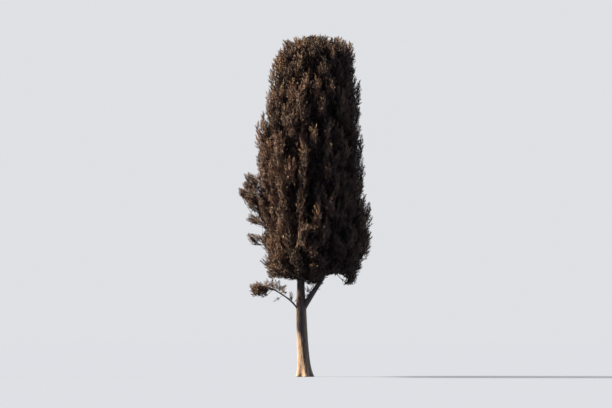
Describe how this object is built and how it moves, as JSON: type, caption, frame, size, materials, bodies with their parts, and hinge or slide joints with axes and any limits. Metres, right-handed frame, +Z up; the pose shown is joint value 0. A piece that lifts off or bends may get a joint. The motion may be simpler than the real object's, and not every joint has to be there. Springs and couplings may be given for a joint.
{
  "type": "pencil cypress tree",
  "caption": "Upright columnar evergreen tree with a bare leaning trunk, a blunt-topped dense crown and a thin low bough that ends in a tuft.",
  "frame": {"origin": "centre of the flat cut under the trunk, at ground level", "axes": "+Z up the tree, +X to its right as the picture shows it, -Y towards the viewer"},
  "size_m": [4.7979, 4.2077, 11.94],
  "materials": {
    "trunk_bark": "rough fibrous grey-brown bark",
    "bough_bark": "rough grey-brown bark",
    "foliage": "matt brownish olive scale leaves"
  },
  "bodies": {
    "root": {"trunk": "trunk_bark", "low_right_bough": "bough_bark", "bough_02": "bough_bark", "bough_03": "bough_bark", "bough_04": "bough_bark", "bough_05": "bough_bark", "bough_06": "bough_bark", "bough_07": "bough_bark", "bough_08": "bough_bark", "bough_09": "bough_bark", "bough_10": "bough_bark", "bough_11": "bough_bark", "bough_12": "bough_bark", "bough_13": "bough_bark", "bough_14": "bough_bark", "bough_15": "bough_bark", "bough_16": "bough_bark", "bough_17": "bough_bark", "bough_18": "bough_bark", "low_left_bough": "bough_bark", "foliage_01": "foliage", "foliage_02": "foliage", "foliage_03": "foliage", "foliage_04": "foliage", "foliage_05": "foliage", "foliage_06": "foliage", "foliage_07": "foliage", "foliage_08": "foliage", "foliage_09": "foliage", "foliage_10": "foliage", "foliage_11": "foliage", "foliage_12": "foliage", "foliage_13": "foliage", "foliage_14": "foliage", "foliage_15": "foliage", "foliage_16": "foliage", "foliage_17": "foliage", "foliage_18": "foliage", "foliage_top": "foliage", "foliage_low_left": "foliage"}
  },
  "joints": []
}
